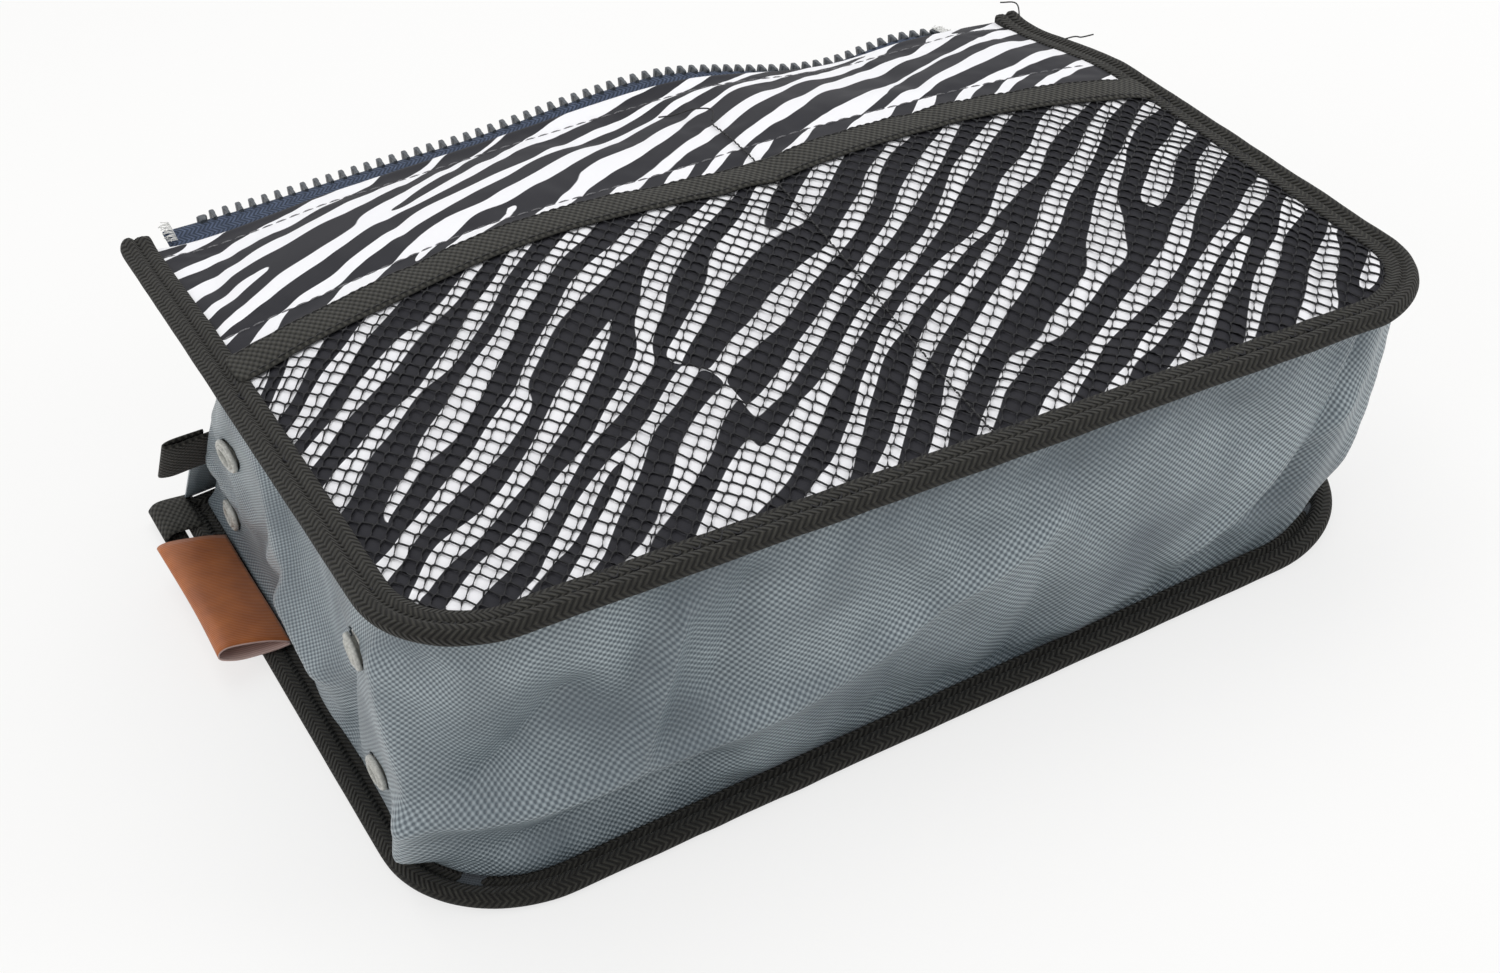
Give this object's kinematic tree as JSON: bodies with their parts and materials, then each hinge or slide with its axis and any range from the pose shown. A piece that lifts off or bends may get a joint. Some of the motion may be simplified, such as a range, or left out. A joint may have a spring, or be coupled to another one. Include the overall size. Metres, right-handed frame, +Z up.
{
  "type": "shoe bag",
  "caption": "Rectangular padded shoe bag with a net pocket on its printed front, vented side walls and a zipped flap mouth.",
  "frame": {"origin": "middle of the back panel's underside, which lies on the table", "axes": "+X along the long side, +Y from the closed near edge to the zipped mouth, +Z up towards the front panel"},
  "size_m": [0.3654, 0.2594, 0.1197],
  "materials": {
    "print_cloth": "smooth polyester with a charcoal stripe print",
    "nylon": "coarse woven coated nylon, slight gloss",
    "board": "plain sheet, hidden",
    "lining": "plain woven lining",
    "foam": "open-cell foam, hidden",
    "binding": "black herringbone tape",
    "webbing": "black ribbed webbing",
    "net": "black knitted net",
    "zip_tape": "slate blue woven zip tape",
    "zip_teeth": "moulded grey teeth",
    "slider": "grey painted die-cast metal",
    "label": "orange-brown satin label, bare",
    "eyelet": "pale grey moulded plastic"
  },
  "bodies": {
    "root": {"back_shell": "nylon", "back_board": "board", "back_lining": "lining", "back_binding": "binding", "gusset_left": "nylon", "gusset_near": "nylon", "gusset_right": "nylon", "front_shell": "print_cloth", "front_foam": "foam", "front_lining": "lining", "front_binding": "binding", "pocket_mesh": "net", "pocket_band": "webbing", "rear_strip": "nylon", "rear_zip_tape": "zip_tape", "rear_zip_teeth": "zip_teeth", "rear_zip_stops": "zip_teeth", "zip_end_tab": "webbing", "corner_tab": "webbing", "eyelets_left": "eyelet", "eyelet_washers_left": "eyelet", "eyelets_right": "eyelet", "eyelet_washers_right": "eyelet"},
    "flap": {"flap_shell": "print_cloth", "flap_foam": "foam", "flap_lining": "lining", "flap_binding_left": "binding", "flap_binding_right": "binding", "flap_zip_tape": "zip_tape", "flap_zip_teeth": "zip_teeth", "flap_zip_stops": "zip_teeth"},
    "slider": {"zip_slider": "slider"},
    "pull": {"zip_pull": "slider"},
    "label": {"side_label": "label"}
  },
  "joints": [
    {"name": "flap_fold", "type": "hinge", "parent": "root", "child": "flap", "pos_m": [0.00879, 0.04197, 0.10085], "axis": [0.9962, 0.0557, -0.0668], "range_deg": [-49.6, 0]},
    {"name": "slider_run", "type": "slide", "parent": "root", "child": "slider", "axis": [-0.9995, -0.0201, 0.024], "range_m": [0, 0.294]},
    {"name": "pull_flip", "type": "hinge", "parent": "slider", "child": "pull", "pos_m": [0.1562, 0.10062, 0.03888], "axis": [-0.0313, 0.6406, -0.7672], "range_deg": [-178, 0]},
    {"name": "label_flip", "type": "hinge", "parent": "root", "child": "label", "pos_m": [-0.161, 0.056, 0.006], "axis": [0, 1, 0], "range_deg": [-8, 50], "stiffness_Nm_per_rad": 0.004}
  ]
}
